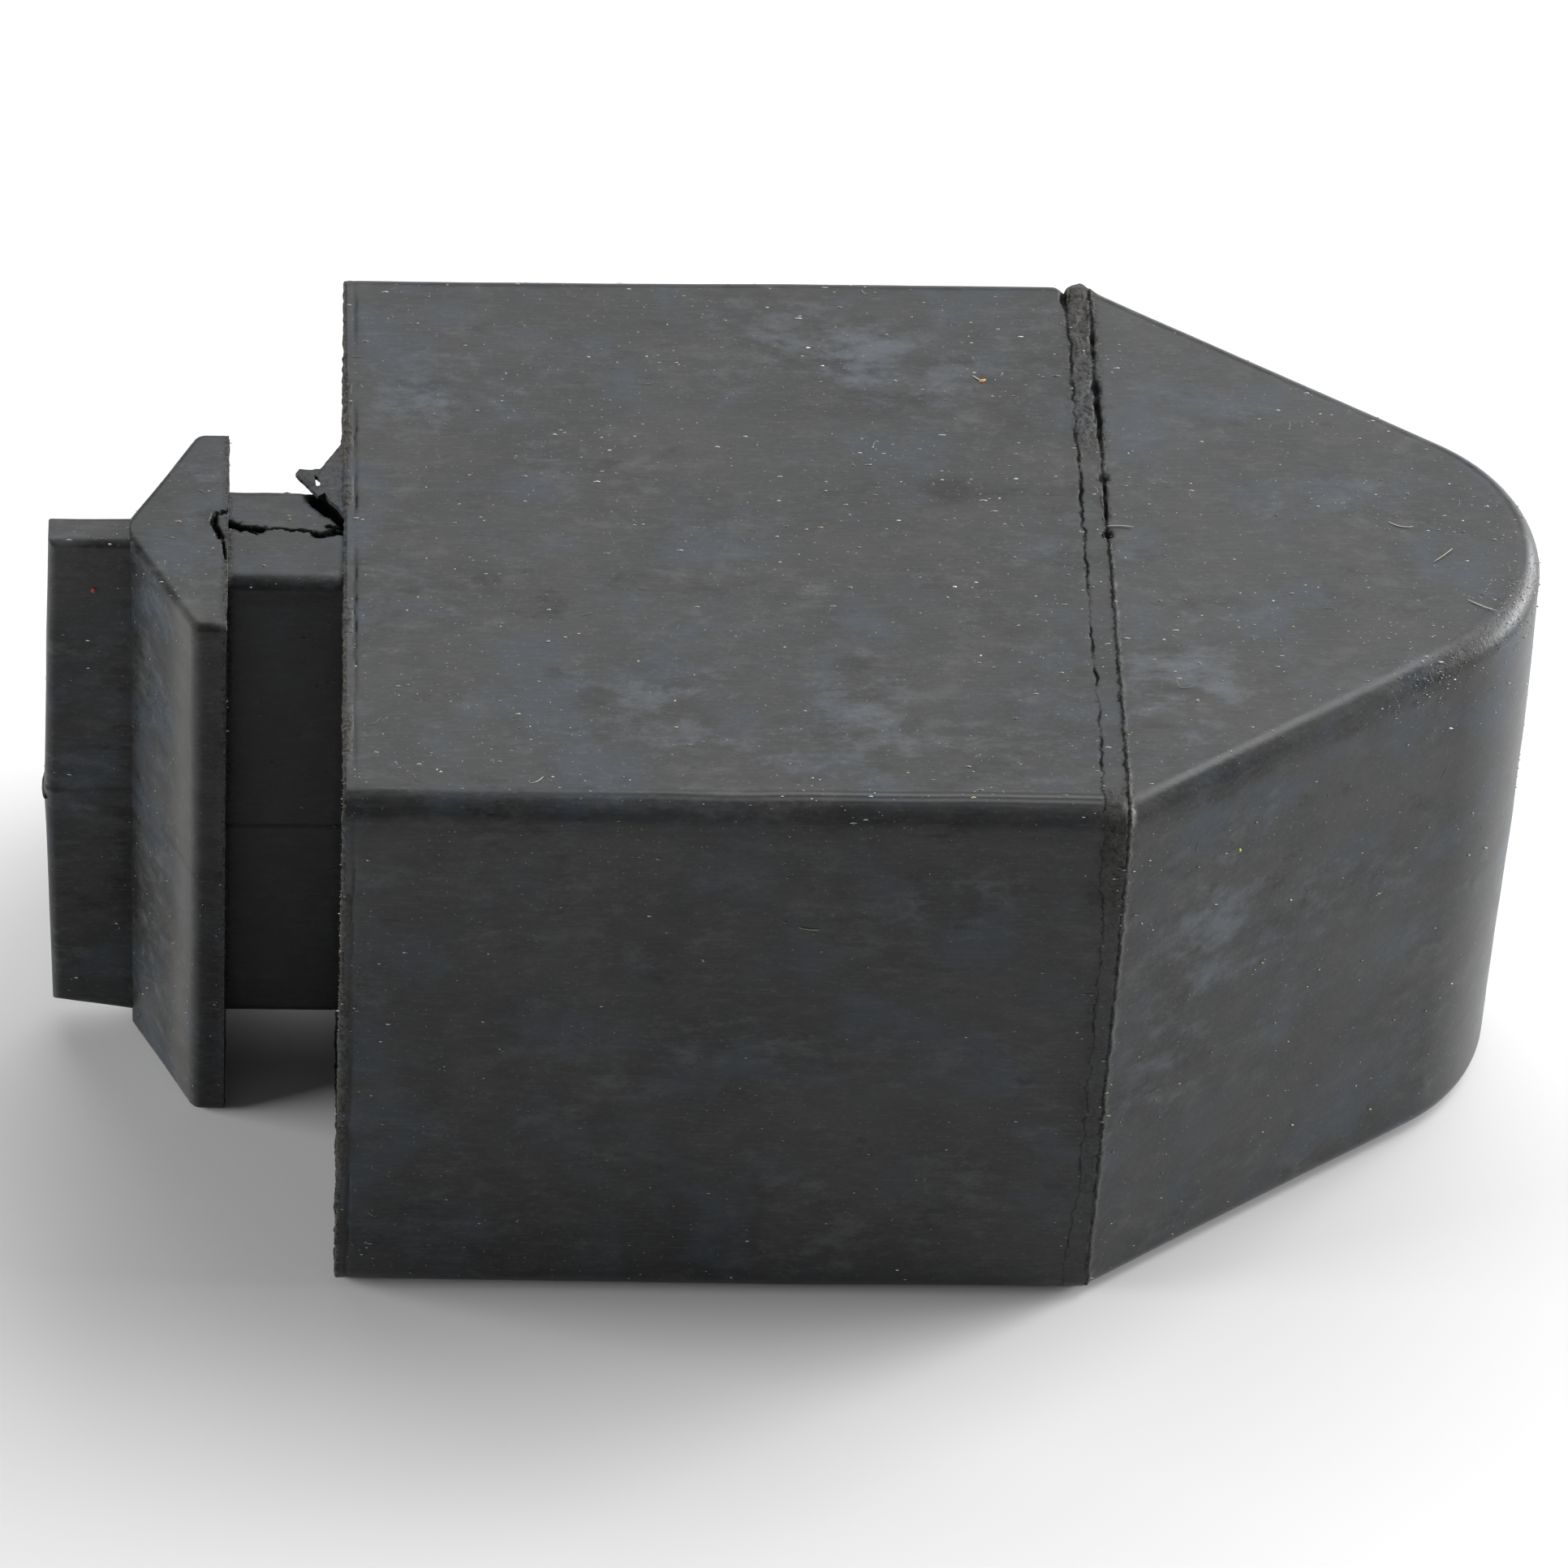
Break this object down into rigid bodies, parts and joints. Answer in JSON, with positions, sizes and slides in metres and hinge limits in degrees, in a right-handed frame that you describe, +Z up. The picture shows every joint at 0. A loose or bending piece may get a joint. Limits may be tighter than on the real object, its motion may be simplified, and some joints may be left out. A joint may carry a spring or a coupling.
{
  "type": "rubber bump stop",
  "caption": "Moulded rubber bump stop: a rectangular buffer block with a rounded wedge nose, and a barbed lug on a waisted neck that snaps into a slotted bracket.",
  "frame": {"origin": "bottom centre of the whole buffer as it lies on a broad side", "axes": "+X along the buffer from the lug to the nose, +Y across its width, +Z up through its height"},
  "size_m": [0.114, 0.0608, 0.052],
  "materials": {
    "rubber": "matt black moulded rubber with a greyish bloom and pale dust"
  },
  "bodies": {
    "root": {"main_block": "rubber", "shoulder_band": "rubber", "wedge_nose": "rubber", "mounting_neck": "rubber", "retaining_barb": "rubber", "pull_tongue": "rubber"}
  },
  "joints": []
}
